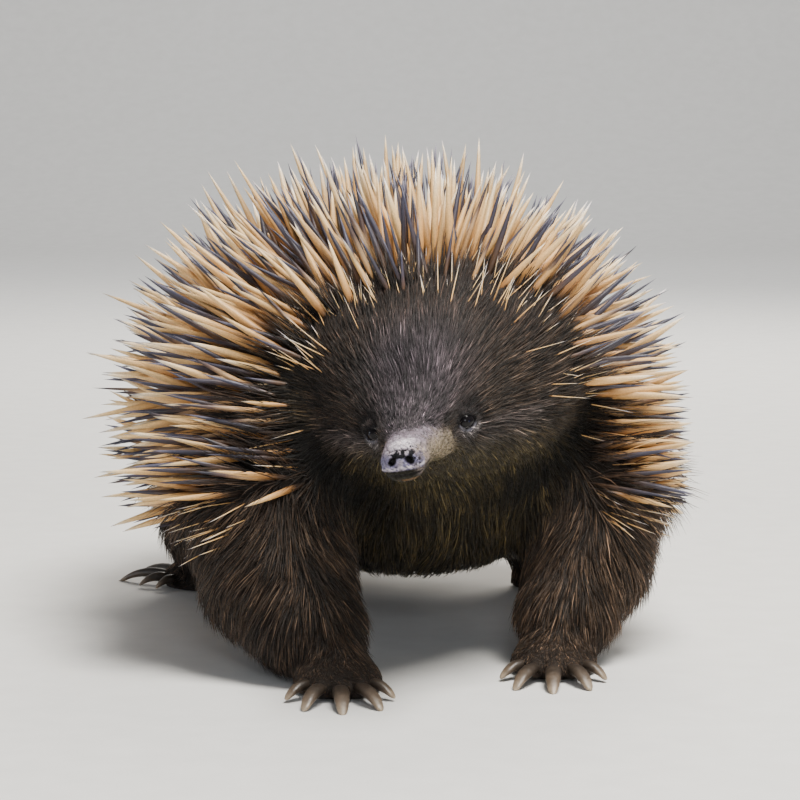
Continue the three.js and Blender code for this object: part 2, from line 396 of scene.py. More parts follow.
def eyeHigh(q):  # height above the middle of the nearer eye, square to its gaze
    high = np.zeros(len(q))
    for side in (-1, 1):
        ahead, sideways, upward = eyePlane(q, side)
        near = (ahead > 0) & (np.hypot(sideways, upward) < 12)
        high[near] = upward[near]
    return high


def makeSkin():
    cell, margin = skinMesh["cell"], skinMesh["margin"]
    low = np.array(cadBox[0]) / mm - margin
    high = np.array(cadBox[1]) / mm + margin
    low[2] = -margin
    counts = np.ceil((high - low) / cell).astype(int)
    axes = [low[i] + cell * np.arange(counts[i]) for i in range(3)]
    grid = np.stack(np.meshgrid(*axes, indexing="ij"), -1).reshape(-1, 3)
    field = skinDistance(grid).reshape(counts)
    volume = openvdb.FloatGrid(4 * cell)
    volume.copyFromArray(field.astype(np.float32))
    points, quads = volume.convertToQuads(isovalue=0.0)
    skin = meshObject("skin", points * cell + low, quads.tolist())
    skin.data.validate()
    refine(skin, lambda p: ((p[:, 2] < 14) & (p[:, 2] > 1.5)) | onFace(p, 14))
    refine(skin, lambda p: onFace(p, 10))
    refine(skin, lambda p: onFace(p, 11 - pose["beakReach"]) | nearEyes(toHead(p), 7.5))
    refine(skin, lambda p: nearEyes(toHead(p), 5.8) & (eyeRing(p) < 3.6))
    points = pointsOf(skin)
    for _ in range(skinMesh["snaps"]):
        slope = gradient(skinDistance, points)
        move = skinDistance(points)[:, None] * slope / np.maximum((slope ** 2).sum(1), 0.25)[:, None]
        points -= np.clip(move, -0.6, 0.6)
    setPoints(skin, points)
    print("skin: %d faces" % len(skin.data.polygons))
    return skin


# Fine shape of the face, as small moves of the skin along its own normals

beak = {
    "nostrilSide": 3.3, "nostrilHigh": 1.2, "nostrilWide": 1.25, "nostrilTall": 2.0, "nostrilLean": 38.0,
    "nostrilDeep": 2.2, "nostrilRim": 0.3,
    "mouthLow": -4.4, "mouthReach": 15.0, "mouthDeep": 0.55,
    "wrinkleGap": 2.1, "wrinkleDeep": 0.28, "foldAt": 9.5, "foldDeep": 0.45,
    "lumps": 0.20, "crackDeep": 0.42, "scabDeep": 0.35,
    # where the hair starts, behind the tip
    "bareTop": 23.0, "bareRight": 31.0, "bareLeft": 46.0, "bareLow": 54.0,
}


def nostrilRing(q, side):  # 1 on the edge of the nostril, less inside
    lean = math.radians(beak["nostrilLean"])
    x = q[:, 0] - side * beak["nostrilSide"]
    z = q[:, 2] - beak["nostrilHigh"]
    long = -side * math.sin(lean) * x + math.cos(lean) * z
    short = math.cos(lean) * x + side * math.sin(lean) * z
    return np.sqrt((short / beak["nostrilWide"]) ** 2 + (long / beak["nostrilTall"]) ** 2)


def nostrilness(q):
    ring = np.minimum(nostrilRing(q, -1), nostrilRing(q, 1))
    return np.where(behindTip(q) < 7, smooth(ring, 1.25, 0.6), 0), ring


def cracks(q):  # 1 along fine uneven lines over the bare skin
    return smooth(np.abs(waves(q * (1, 0.8, 1), 4.0, 53) + 0.3 * waves(q, 1.6, 54)), 0.20, 0.04)


def scabs(q):  # 1 on the dark dry patches above the nostrils
    w = behindTip(q)
    x, z = q[:, 0], q[:, 2]
    uneven = waves(q, 3.6, 23) + 0.35 * waves(q, 1.6, 24)
    brow = smooth(np.hypot((x - 1.4) / 5.6, (z - 3.2 + 0.12 * x) / 2.3), 1.15, 0.8)
    # the skin between the nostrils is clear
    brow *= np.maximum(smooth(z, 1.7, 2.5), smooth(x, 1.2, 2.2))
    beside = smooth(np.hypot((x - 5.6) / 2.6, (z - 0.4) / 1.9), 1.1, 0.7)
    beside *= smooth(waves(q, 1.3, 27), -0.1, 0.2)
    dashes = smooth(waves(q * (0.6, 1, 1.7), 2.2, 25), 0.40, 0.65) * smooth(z, 2.5, 4.5) * smooth(x, 1, 4)
    patches = smooth(uneven + 0.62, 0.0, 0.2) * brow
    return np.maximum(np.maximum(patches, dashes), beside) * smooth(w, 10.5, 7.5)


def bareness(p):  # 1 on the bare beak, 0 under the hair
    q = toHead(p)
    w = behindTip(q)
    high = q[:, 2] / np.maximum(np.hypot(q[:, 0], q[:, 2]), 1e-6)
    side = beak["bareRight"] + (beak["bareLeft"] - beak["bareRight"]) * smooth(q[:, 0], -5, 5)
    top, low = beak["bareTop"], beak["bareLow"]
    edge = np.where(high > 0, side + (top - side) * high, side - (low - side) * high)
    edge += 1.6 * waves(q, 5, 9)
    return smooth(w, edge + 8, edge - 5) * (p[:, 2] > head["lowest"])


def carveFace(points):
    q = toHead(points)
    w = behindTip(q)
    onBeak = (w < 60) & (points[:, 2] > head["lowest"])
    move = np.zeros(len(points))
    hole, ring = nostrilness(q)
    move -= beak["nostrilDeep"] * hole
    move += np.where(w < 7, beak["nostrilRim"] * np.exp(-((ring - 1.6) / 0.4) ** 2), 0)
    jaw = np.abs(q[:, 2] - beak["mouthLow"] - 0.05 * w)
    move -= beak["mouthDeep"] * smooth(jaw, 0.8, 0.1) * smooth(w, beak["mouthReach"] + 3, beak["mouthReach"])
    noise = waves(q, 7, 3)
    rings = np.sin(2 * math.pi * (w / beak["wrinkleGap"] + 0.5 * noise))
    move += beak["wrinkleDeep"] * rings * smooth(w, 3, 8) * smooth(w, 60, 40) * (0.6 + 0.4 * waves(q, 11, 5))
    fold = np.exp(-((w - beak["foldAt"] - 0.8 * noise) / 0.7) ** 2) * smooth(q[:, 0], 1, 5)
    move -= beak["foldDeep"] * fold
    move += beak["lumps"] * waves(q, 2.6, 51) * smooth(w, 50, 12)
    move -= beak["crackDeep"] * cracks(q) * smooth(w, 34, 8)
    move -= beak["scabDeep"] * scabs(q)
    move[~onBeak] = 0
    eye = eyeRing(points)
    folds = np.sin(2 * math.pi * (eye / 1.15 + 0.2 * waves(q, 4, 8)))
    move += 0.14 * folds * smooth(eye, 4.2, 5.2) * smooth(eye, 8.5, 6)
    normals = unit(gradient(skinDistance, points))
    inward = smooth(w, 9, 4)[:, None] * hole[:, None]
    push = normals * (1 - inward) + (headTurn @ np.array([0, -1, 0])) * inward
    return points + push * move[:, None]


skin = makeSkin()
setPoints(skin, carveFace(pointsOf(skin)))


# A plain unwrap of the skin's own shape, which the coat's patches sit on

def unwrap(obj):
    bpy.context.view_layer.objects.active = obj
    obj.select_set(True)
    obj.data.uv_layers.new(name="OFBake")
    bpy.ops.object.mode_set(mode="EDIT")
    bpy.ops.mesh.select_all(action="SELECT")
    bpy.ops.uv.smart_project(angle_limit=math.radians(66), island_margin=0.001)
    bpy.ops.object.mode_set(mode="OBJECT")
    obj.select_set(False)
    print("unwrapped " + obj.name)


unwrap(skin)


# What the coat does over the skin: its lie, length, thickness and colour at each point

hues = {name: colour(code) for name, code in {
    "faceMiddle": "362f33", "faceSide": "322820", "faceTop": "221914", "cheek": "554c4b", "throat": "3b331f",
    "leg": "30251c", "belly": "2b2212", "back": "231810",
    "lilac": "766974", "pale": "cabfc9", "paintedGleam": "e6dde4", "olive": "6b6040", "lipAndShade": "161203",
    "padAndSheen": "6a6686", "scab": "0c0c12", "cream": "ab9a88", "orange": "8a6238", "nostrilShade": "0c0a0b",
    "darkRimsAndShade": "141012", "paleLidAndLight": "74727c", "lidHair": "77706f", "sole": "3b322d",
}.items()}
coat = {
    "spineEdge": 113.0,       # where the spines start on top of the head, behind the tip
    # how low the spines reach, by the distance behind the shoulders, on the animal's right and left
    "spineLow": {"u": [-40, -10, 20, 60, 180, 240, 290], "right": [78, 71, 64, 57, 54, 50, 46],
                 "left": [80, 71, 63, 57, 54, 50, 46]},
    "faceLength": {"w": [20, 34, 48, 66, 84, 104, 122], "mm": [2.4, 5.0, 7.5, 10, 13, 17, 20]},
    "legLength": {"z": [4, 14, 30, 70], "mm": [4.5, 8, 13, 17]},
    "footLength": 4.0, "bodyLength": 14.0, "toeShorter": 0.35,
    "longer": {"amongSpines": 6, "bySpines": 10},
    # strands on each square millimetre
    "faceDensity": {"w": [26, 60, 100, 122], "count": [5.0, 3.2, 2.2, 1.9]},
    "density": {"frontLeg": 0.78, "hindLeg": 0.5, "foot": 2.0, "trunk": 0.45},
    "spineThins": 0.74, "fringe": 0.10,
    # painted shade in the deep clefts at both sides under the head, painted light on the left flank and painted
    # shade on the right flank
    "paintedCleftShade": 0.86, "paintedLightLeft": 0.55, "paintedShadeRight": 0.15,
    "skinShade": 0.42,        # the skin under the coat is this much of the coat's colour
}


def blendHues(a, b, mask):
    a = np.broadcast_to(np.asarray(a, float)[..., :3], (len(mask), 3))
    b = np.broadcast_to(np.asarray(b, float)[..., :3], (len(mask), 3))
    return a + (b - a) * np.clip(mask, 0, 1)[:, None]


def layered(base, *layers):  # each layer is the name of a hue and how far it shows
    for name, mask in layers:
        base = blendHues(base, hues[name], mask)
    return base


def layAlong(normals, flow, swirl):  # lays the flow on the skin and turns it by an angle
    flow = unit(flow - normals * (flow * normals).sum(1)[:, None])
    side = np.cross(normals, flow)
    return unit(flow * np.cos(swirl)[:, None] + side * np.sin(swirl)[:, None])


def coatOver(p, normals):
    q = toHead(p)
    w = behindTip(q)
    b = toBody(p)
    up = q[:, 2] / np.maximum(np.hypot(q[:, 0], q[:, 2]), 1e-6)
    sideways, back, down = bodyTurn[:, 0], bodyTurn[:, 1], np.array([0, 0, -1])
    eye = eyeRing(p)

    shares = {"head": np.exp(-np.maximum(headDistance(p, False), 0) / 4) * smooth(w, 150, 128),
              "trunk": np.exp(-np.maximum(trunkDistance(p), 0) / 4)}
    for name in legs:
        shares[name] = np.exp(-np.maximum(limbs(p, legAxis(name), legs[name]["radii"], 8), 0) / 4)
        shares[name] *= smooth(p[:, 2], 4, 14)
        onSole = np.exp(-np.maximum(footDistance(p, feet[name]), 0) / 2)
        shares[name + "_foot"] = onSole * smooth(p[:, 2], 30, 14)
    total = sum(shares.values()) + 1e-9
    shares = {name: share / total for name, share in shares.items()}
    onHead = shares["head"]
    onLeg = sum(shares[name] for name in legs)
    onFoot = sum(shares[name + "_foot"] for name in legs)
    frontLeg = shares["front_left"] + shares["front_right"]

    # which way the hair lies
    outward = np.sign(b[:, :1]) * sideways
    facing = smooth((normals * outward).sum(1), -0.2, 0.5)
    chest = smooth(b[:, 1], 60, 10)
    low = smooth(b[:, 2], 120, 70)
    flow = onHead[:, None] * (headTurn[:, 1] + down * (0.45 * smooth(up, 0.1, -0.8))[:, None])
    overTrunk = back * (1 - 0.55 * chest * low)[:, None] + down * (low * (0.55 + 0.5 * chest))[:, None]
    flow += shares["trunk"][:, None] * overTrunk
    fan = (1.15 * facing * smooth(p[:, 2], 25, 85))[:, None]
    flow += onLeg[:, None] * (0.85 * down + fan * outward + 0.15 * back)
    for name in legs:
        at, rotation = footPlace(feet[name])
        heading = rotation @ np.array([0, -1, 0])
        spread = unit((p - at) * (1, 1, 0))
        flow += shares[name + "_foot"][:, None] * (heading * 0.8 + spread * 0.4 + down * 0.35)
    for side in (-1, 1):  # the hair parts round the eyes
        away = unit(q - eyeFrame(side)[0])
        closeBy = np.exp(-np.maximum(np.linalg.norm(q - eyeFrame(side)[0], axis=1) - 5, 0) / 3)
        flow += 0.6 * closeBy[:, None] * (away @ headTurn.T) * onHead[:, None]

    # where spines stand, and where only hair does
    faceEdge = coat["spineEdge"] + 60 * smooth(up, 0.0, -0.45) + 4 * waves(p, 22, 14)
    ends = coat["spineLow"]
    lowRight, lowLeft = (np.interp(b[:, 1], ends["u"], ends[side]) for side in ("right", "left"))
    lowEdge = np.where(b[:, 0] < 0, lowRight, lowLeft) + 5 * waves(p, 40, 12)
    spiny = smooth(p[:, 2], lowEdge - 4, lowEdge + 6)
    nearHead = smooth(headDistance(p, False), 12, 4) * smooth(b[:, 1], 45, 20)
    spiny *= 1 - nearHead * smooth(w, faceEdge + 3, faceEdge - 3)
    outer = smooth(np.abs(q[:, 0]), 48, 56) * smooth(normals[:, 2], -0.35, -0.1)
    overHead = smooth(w, faceEdge - 3, faceEdge + 3) * smooth(up, -0.3, 0.0)
    spiny *= np.maximum(outer, np.maximum(overHead, 1 - smooth(b[:, 1], 30, 10)))
    spiny = np.clip(spiny, 0, 1)
    below = smooth(p[:, 2], lowEdge - 32, lowEdge - 4) * (1 - spiny) * (1 - onHead)
    below *= smooth(b[:, 1], 150, 100)
    below *= smooth(np.abs(b[:, 0]), 66, 82)
    margin = nearHead * smooth(w, faceEdge + 30, faceEdge + 8) * smooth(w, faceEdge - 20, faceEdge - 2)

    # spines sweep back over the trunk, and out from the face over the shoulders
    ahead = smooth(b[:, 1], 70, 5)[:, None]
    outFromFace = (p - headAt) * (1, 0, 1)
    outFromFace[:, 2] = np.maximum(outFromFace[:, 2], -0.12 * np.abs(outFromFace[:, 0]))
    outFromFace = unit(outFromFace)
    rump = smooth(normals @ back, 0.45, 0.9)[:, None]
    sweep = back + down * (0.35 * low[:, None] + 0.8 * rump)
    spineFlow = sweep * (1 - ahead) + (outFromFace + 0.5 * back) * ahead
    spineFlow = layAlong(normals, spineFlow, 0.12 * waves(p, 30, 33))
    flow = layAlong(normals, flow, 0.30 * waves(p, 34, 31) * (1 - 0.6 * onHead))
    flow = layAlong(normals, flow + (spineFlow - flow) * spiny[:, None], np.zeros(len(p)))

    bare = bareness(p)
    face = onHead * (1 - spiny)
    length = face * follow(coat["faceLength"], w)
    length += (1 - face) * (onLeg * follow(coat["legLength"], p[:, 2]) + onFoot * coat["footLength"]
                            + (1 - onLeg - onFoot) * coat["bodyLength"])
    toes = smooth(p[:, 2], 16, 8) * onFoot
    length *= 1 - coat["toeShorter"] * toes
    length = np.where(eye < 12, length * (0.30 + 0.70 * smooth(eye, 4, 13)), length)
    density = face * follow(coat["faceDensity"], w)
    thick = coat["density"]
    density += (1 - face) * (frontLeg * thick["frontLeg"] + (onLeg - frontLeg) * thick["hindLeg"]
                             + onFoot * thick["foot"] + shares["trunk"] * thick["trunk"])
    density *= 1 - spiny * coat["spineThins"]
    length = length + spiny * coat["longer"]["amongSpines"] + coat["longer"]["bySpines"] * margin
    density *= 1 + 0.7 * margin
    # a few short hairs stand on the bare skin
    fringe = coat["fringe"] * smooth(w, 13, 20) * (p[:, 2] > head["lowest"])
    density *= (1 + smooth(eye, 10, 5)) * np.maximum(1 - bare, fringe) * (eye > 3.5) * (p[:, 2] > 2.6)
    length = length * (1 - 0.5 * bare)
    density *= np.maximum(smooth(normals[:, 2], -0.99, -0.9), p[:, 2] > 20)  # none under the soles

    # markings, with painted shade and painted light, shared by skin and coat
    middle = smooth(np.abs(q[:, 0]), 30, 6) * smooth(up, 0.1, 0.7) * smooth(w, 110, 70)
    tint = blendHues(hues["faceSide"], hues["faceMiddle"], middle)
    cheek = smooth(np.abs(q[:, 2] + 5), 6, 2) * smooth(w, 38, 50) * smooth(w, 104, 78)
    tint = layered(
        tint, ("faceTop", smooth(w, 66, 100) * smooth(up, 0.2, 0.7)), ("cheek", 0.65 * cheek),
        ("throat", smooth(up, 0.0, -0.6)), ("belly", 1 - onHead),
        ("throat", chest * (1 - onHead) * (1 - onLeg) * 0.6), ("leg", onLeg + onFoot),
        # painted shade on the hair round the eyes, where the sockets dip
        ("back", spiny * 0.85), ("darkRimsAndShade", smooth(eye, 12, 6) * 0.75))
    # painted shade where the head meets the chest and front legs, and on the body just under the head
    creaseShade = 4 * onHead * (shares["trunk"] + frontLeg) * smooth(up, 0.1, -0.3)
    under = np.exp(-np.maximum(headDistance(p, False) - 3, 0) / 9)
    under *= (1 - onHead) * (1 - spiny) * smooth(p[:, 2], 40, 60)
    sides = smooth(np.abs(q[:, 0]), 10, 28)
    tint = tint * (1 - coat["paintedCleftShade"] * sides * np.clip(creaseShade + 1.3 * under, 0, 1))[:, None]
    # painted light on the animal's left flank and painted shade on its right flank
    left = smooth(p[:, 0], 35, 85) * (1 - onHead)
    tint = tint * (1 + coat["paintedLightLeft"] * left - coat["paintedShadeRight"] * smooth(p[:, 0], -30, -80))[:, None]
    # pale hair under the eyes: partly its own colour, partly painted light
    paleLidHairAndLight = smooth(eye, 8, 5) * smooth(eyeHigh(q), -0.5, -2.5)
    tint = layered(tint, ("lidHair", paleLidHairAndLight * 0.8))
    bristly = margin + 0.06 * spiny + 0.6 * spiny * (1 - spiny) + 0.55 * below * facing
    return {"flow": flow, "spiny": spiny, "margin": margin, "bristly": bristly, "length": length,
            "density": density, "tint": tint, "bare": bare, "face": face, "leg": onLeg + onFoot}


def readSurface(obj):
    mesh = obj.data
    mesh.calc_loop_triangles()
    count = len(mesh.loop_triangles)
    tris, loops = np.empty(count * 3, np.int32), np.empty(count * 3, np.int32)
    mesh.loop_triangles.foreach_get("vertices", tris)
    mesh.loop_triangles.foreach_get("loops", loops)
    uv = np.empty(len(mesh.loops) * 2, np.float32)
    mesh.uv_layers["OFBake"].data.foreach_get("uv", uv)
    normals = np.empty(len(mesh.vertices) * 3, np.float32)
    mesh.vertex_normals.foreach_get("vector", normals)
    points, normals = pointsOf(obj), normals.reshape(-1, 3).astype(float)
    tris = tris.reshape(-1, 3)
    corners = points[tris]
    area = np.linalg.norm(np.cross(corners[:, 1] - corners[:, 0], corners[:, 2] - corners[:, 0]), axis=1) / 2
    fields = coatOver(points, normals)
    fields.update(at=points, normal=normals)
    return {"tris": tris, "area": area, "uv": uv.reshape(-1, 2)[loops.reshape(-1, 3)], "fields": fields}


surface = readSurface(skin)
print("coat mapped over %.3f square metres" % (surface["area"].sum() * mm * mm))


# Random roots over the skin, in proportion to a field, with every field read at each root
def scatter(weight, count=None):
    share = surface["area"] * weight[surface["tris"]].mean(1)
    count = int(share.sum()) if count is None else count
    picked = rng.choice(len(share), count, p=share / share.sum())
    a, b = rng.random((2, count))
    flip = a + b > 1
    a[flip], b[flip] = 1 - a[flip], 1 - b[flip]
    weights = np.stack([1 - a - b, a, b], 1)
    corners = surface["tris"][picked]
    roots = {}
    for name, values in surface["fields"].items():
        values = values.reshape(len(values), -1)
        roots[name] = np.einsum("nk,nkc->nc", weights, values[corners]).squeeze()
    roots["uv"] = np.clip(np.einsum("nk,nkc->nc", weights, surface["uv"][picked]), 0.002, 0.998)
    roots["normal"] = unit(roots["normal"])
    roots["flow"] = unit(roots["flow"])
    return roots


def keep(roots, chosen):
    return {name: values[chosen] for name, values in roots.items()}


# Tapered closed tubes along given middle lines: spines and hairs are both made of these

patch = 0.003  # each tube's share of the unwrap


def tubeTemplate(rings, sides):
    faces, patches = [], []
    for ring in range(rings - 1):
        for i in range(sides):
            a, b = ring * sides + i, ring * sides + (i + 1) % sides
            corners = ((i, ring), (i + 1, ring), (i + 1, ring + 1), (i, ring + 1))
            faces += [(a, b, b + sides), (a, b + sides, a + sides)]
            patches += [(corners[0], corners[1], corners[2]), (corners[0], corners[2], corners[3])]
    tip = rings * sides
    for i in range(sides):
        faces.append((tip - sides + i, tip - sides + (i + 1) % sides, tip))
        patches.append(((i, rings - 1), (i + 1, rings - 1), (i + 0.5, rings)))
    for i in range(1, sides - 1):
        faces.append((0, i + 1, i))
        patches.append(((0, 0), (i + 1, 0), (i, 0)))
    return np.array(faces), np.array(patches, float) / (sides, rings) - 0.5


def tubeMesh(name, lines, radii, sides, roots, values, most=12000):
    count, steps = lines.shape[:2]
    rings = steps - 1
    along = unit(np.gradient(lines, axis=1))
    spin = rng.normal(size=(count, 1, 3))
    u = unit(np.cross(along, np.broadcast_to(spin, along.shape)))
    v = np.cross(along, u)
    angle = 2 * math.pi * np.arange(sides) / sides
    ring = (u[:, :-1, None] * np.cos(angle)[:, None] + v[:, :-1, None] * np.sin(angle)[:, None])
    ring = lines[:, :-1, None] + ring * radii[:, :, None, None]
    points = np.concatenate([ring.reshape(count, -1, 3), lines[:, -1:]], 1)
    faces, patches = tubeTemplate(rings, sides)
    fraction = np.append(np.repeat(np.linspace(0, 1, steps)[:-1], sides), 1.0)
    made = []
    for number, start in enumerate(range(0, count, most)):
        part = slice(start, min(start + most, count))
        size = part.stop - part.start
        tris = faces[None] + (np.arange(size) * points.shape[1])[:, None, None]
        corners = roots["uv"][part][:, None, None] + patches[None] * patch
        obj = fastMesh("%s_%d" % (name, number + 1), points[part].reshape(-1, 3), tris.reshape(-1, 3),
                       corners.reshape(-1, 2))
        setValues(obj, "along", np.tile(fraction, size))
        for key, value in values.items():
            setValues(obj, key, np.repeat(value[part], points.shape[1], axis=0))
        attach(obj, "root")
        made.append(obj)
    print("%s: %d made, %d triangles" % (name, count, count * len(faces)))
    return made


def fastMesh(name, points, tris, corners):
    mesh = bpy.data.meshes.new(name)
    mesh.vertices.add(len(points))
    mesh.vertices.foreach_set("co", (points * mm).astype(np.float32).ravel())
    mesh.loops.add(len(tris) * 3)
    mesh.loops.foreach_set("vertex_index", tris.astype(np.int32).ravel())
    mesh.polygons.add(len(tris))
    mesh.polygons.foreach_set("loop_start", np.arange(0, len(tris) * 3, 3, dtype=np.int32))
    mesh.update(calc_edges=True)
    mesh.shade_smooth()
    mesh.uv_layers.new(name="OFBake").data.foreach_set("uv", corners.astype(np.float32).ravel())
    obj = bpy.data.objects.new(name, mesh)
    scene.collection.objects.link(obj)
    return obj


def setValues(obj, name, values):
    values = np.asarray(values, np.float32)
    isColour = values.ndim == 2
    layer = obj.data.attributes.new(name, "FLOAT_COLOR" if isColour else "FLOAT", "POINT")
    if isColour:
        values = np.concatenate([values[:, :3], np.ones((len(values), 1), np.float32)], 1)
    layer.data.foreach_set("color" if isColour else "value", values.ravel())


# Spines: stiff, widest near a third of their length, drawn out to a sharp tip

spines = {
    "candidates": 60000, "gap": 5.2, "sides": 6, "most": 3300,
    "buried": 2.5, "proud": 6.0,      # how deep the root sits, and how far a tip may pass the CAD's box
    "steps": (0, 0.12, 0.34, 0.62, 0.86, 1), "girth": (0.45, 0.72, 1.0, 0.80, 0.40),
    "radius": (1.5, 2.25), "thin": {"mm": [16, 45], "share": [0.6, 1.0]}, "darkThin": 0.74,
    "jitter": 0.17, "curve": 0.07, "bend": (0.8, 0.8, 0.4), "lowest": -0.22, "fan": 1.1,
    # by the distance behind the shoulders, the distance behind the tip of the snout, and the height
    "lean": {"u": [-30, 20, 60, 150, 240], "degrees": [18, 24, 30, 42, 56]},
    "lowLean": {"z": [55, 90], "degrees": [10, 0]},
    "length": {"u": [-30, 0, 60, 120, 190, 250], "mm": [42, 47, 53, 55, 49, 38]},
    "byFace": {"w": [108, 118, 134], "mm": [24, 40, 54]},
    "low": {"z": [50, 80, 120], "share": [0.72, 0.85, 1.0]},
    "golden": 0.46, "darkTipped": 0.14,  # the rest are dark all along
}
bristles = {
    "count": 760, "sides": 5, "length": (12, 26), "lean": (48, 72), "radius": (0.17, 0.32),
    "tone": (0.1, 0.8), "tan": (0.6, 1.8),
}


def spaced(roots, gap):  # keeps roots that are at least a gap apart
    cells, kept = {}, []
    steps = list(itertools.product((-1, 0, 1), repeat=3))
    for i, point in enumerate(roots["at"]):
        x, y, z = (point // gap).astype(int)
        near = (cells.get((x + dx, y + dy, z + dz)) for dx, dy, dz in steps)
        if any(((point - other) ** 2).sum() < gap * gap for group in near if group for other in group):
            continue
        cells.setdefault((x, y, z), []).append(point)
        kept.append(i)
    return keep(roots, kept)


def spineLines(roots, length, lean):
    normal, flow = roots["normal"], roots["flow"]
    lean = np.radians(lean)[:, None]
    jitter = rng.normal(size=normal.shape) * spines["jitter"]
    aim = unit(normal * np.cos(lean) + flow * np.sin(lean) + jitter)
    aim[:, 2] = np.maximum(aim[:, 2], spines["lowest"])
    bend = flow * spines["bend"] + rng.normal(size=normal.shape) * 0.35
    t = np.array(spines["steps"])[None, :, None]
    start = roots["at"][:, None] - aim[:, None] * spines["buried"]
    reach = (length + spines["buried"])[:, None, None]
    path = reach * (t * aim[:, None] + spines["curve"] * t * t * bend[:, None])
    # each spine is shortened, to no less than 0.3 of its length, so its tip stays within the proud margin of the
    # CAD's box
    low, high = (np.array(corner) / mm for corner in cadBox)
    tip = path[:, -1]
    room = np.where(tip > 0, high + spines["proud"] - start[:, 0], low - spines["proud"] - start[:, 0])
    share = room / np.where(np.abs(tip) < 1e-3, 1e-3, tip)
    fit = np.min(share, axis=1, initial=1.0, where=np.abs(tip) > 3)
    return start + path * np.clip(fit, 0.3, 1)[:, None, None]


def growSpines():
    roots = spaced(scatter(surface["fields"]["spiny"], spines["candidates"]), spines["gap"])
    roots = keep(roots, roots["spiny"] > 0.4 + 0.25 * rng.random(len(roots["at"])))
    p = roots["at"]
    count = len(p)
    b, w = toBody(p), behindTip(toHead(p))
    pick = rng.random(count)
    golden = pick < spines["golden"]
    kind = np.where(golden, 0, np.where(pick < spines["golden"] + spines["darkTipped"], 0.5, 1))
    length = follow(spines["length"], b[:, 1])
    length = np.where(roots["margin"] > 0.02, np.minimum(length, follow(spines["byFace"], w)), length)
    length *= follow(spines["low"], b[:, 2]) * rng.uniform(0.78, 1.06, count)
    length *= np.where(golden, 1.05, 0.95)
    ahead = np.clip(-roots["normal"][:, 1], 0, 1) * smooth(b[:, 1], 60, 20)
    lean = follow(spines["lean"], b[:, 1]) + 30 * ahead
    lean += follow(spines["lowLean"], b[:, 2])
    # round the face they fan out evenly, whichever way the skin under them turns
    fan = (p - headAt) * (1, 0, 1)
    fan[:, 2] = np.maximum(fan[:, 2], -0.10 * np.abs(fan[:, 0]))
    nearFace = smooth(b[:, 1], 80, 25) * spines["fan"]
    roots["normal"] = unit(roots["normal"] + nearFace[:, None] * unit(fan))
    lines = spineLines(roots, length, lean)
    thick = rng.uniform(*spines["radius"], count) * follow(spines["thin"], length)
    radii = (thick * np.where(golden, 1.0, spines["darkThin"]))[:, None] * np.array(spines["girth"])[None]
    values = {"kind": kind, "tone": rng.uniform(0, 1, count), "tan": rng.uniform(0, 1, count)}
    return tubeMesh("spines", lines, radii, spines["sides"], roots, values, spines["most"])


def growBristles():  # thin pale ones round the face and below the spines
    count = bristles["count"]
    roots = scatter(surface["fields"]["bristly"], count)
    length = rng.uniform(*bristles["length"], count)
    lines = spineLines(roots, length, rng.uniform(*bristles["lean"], count))
    radii = rng.uniform(*bristles["radius"], count)[:, None] * np.array(spines["girth"])[None]
    values = {"kind": np.zeros(count), "tone": rng.uniform(*bristles["tone"], count),
              "tan": rng.uniform(*bristles["tan"], count)}
    return tubeMesh("bristles", lines, radii, bristles["sides"], roots, values)


spinePieces = growSpines() + growBristles()


# Hair: fine strands that leave the skin at a slant and then lie along it, drawn together in small tufts

hair = {
    "lift": 0.40, "lay": 0.12, "wander": 0.14, "tuft": 9.0, "gather": 0.42, "droop": 0.12, "faceCalm": 0.55,
    "buried": 0.4,
    "standing": 1.25,  # how steeply hair stands among the spines
    # how light each strand is, as powers: at random, by its tuft, and slowly over the body
    "tone": {"each": 0.38, "tuft": 0.30, "drift": 0.18, "pale": 1.15, "dark": -1.1, "rest": 0.1},
    "paleShare": 0.09, "palerLegs": 0.05, "darkShare": 0.40,
    "radius": {"mm": [2, 6, 14, 28], "size": [0.09, 0.13, 0.18, 0.23]},
    # by length in millimetres, with the most strands in one piece
    "strands": {
        "fur": {"from": 0, "to": 12.5, "steps": (0, 0.5, 1), "girth": (0.85, 0.9), "most": 19000},
        "hair": {"from": 12.5, "to": 99, "steps": (0, 0.36, 0.70, 1), "girth": (0.8, 1.0, 0.72),
                 "most": 12000},
    },
}


